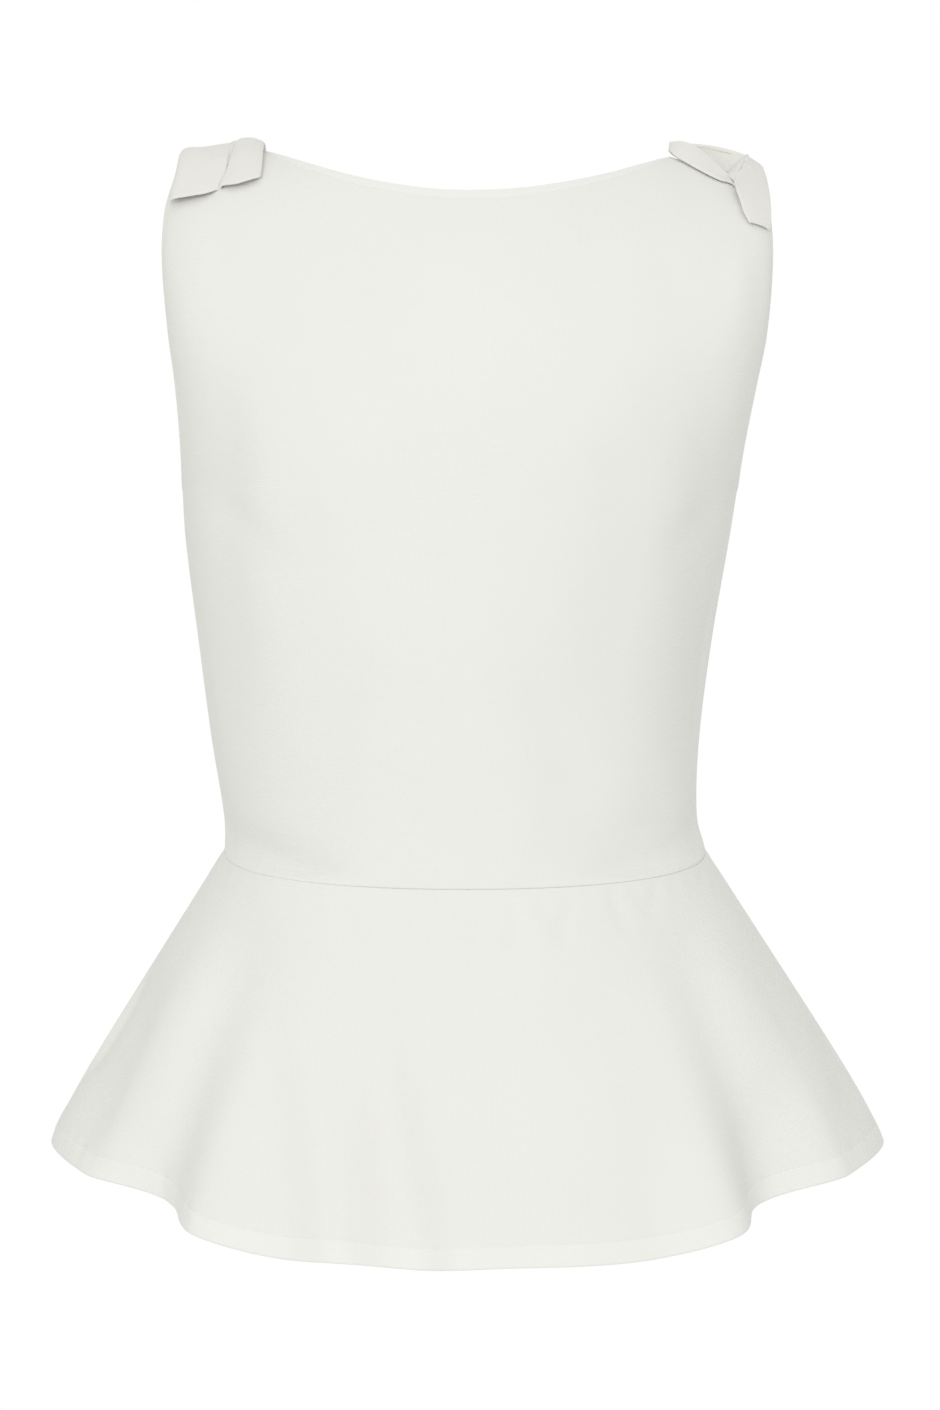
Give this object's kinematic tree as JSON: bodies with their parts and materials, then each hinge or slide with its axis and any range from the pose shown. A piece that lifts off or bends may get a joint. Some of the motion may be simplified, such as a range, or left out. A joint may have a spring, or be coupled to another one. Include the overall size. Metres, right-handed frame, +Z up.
{
  "type": "peplum top",
  "caption": "Sleeveless ivory peplum top with a boat neckline, a seamed waist, a flared fluted peplum and a folded bow on each shoulder.",
  "frame": {"origin": "between the two shoulders, at the height where the straps rest on the wearer, in the plane of the side seams", "axes": "+Z up along the wearer's height, +X to the right in the picture, -Y out of the front"},
  "size_m": [0.464, 0.3547, 0.6144],
  "materials": {
    "cloth": "smooth matt crepe, ivory",
    "bow_cloth": "smooth matt crepe, ivory"
  },
  "bodies": {
    "root": {"bodice_front": "cloth", "bodice_back": "cloth", "peplum_front": "cloth", "peplum_back": "cloth", "bow_left": "bow_cloth", "bow_right": "bow_cloth"}
  },
  "joints": []
}
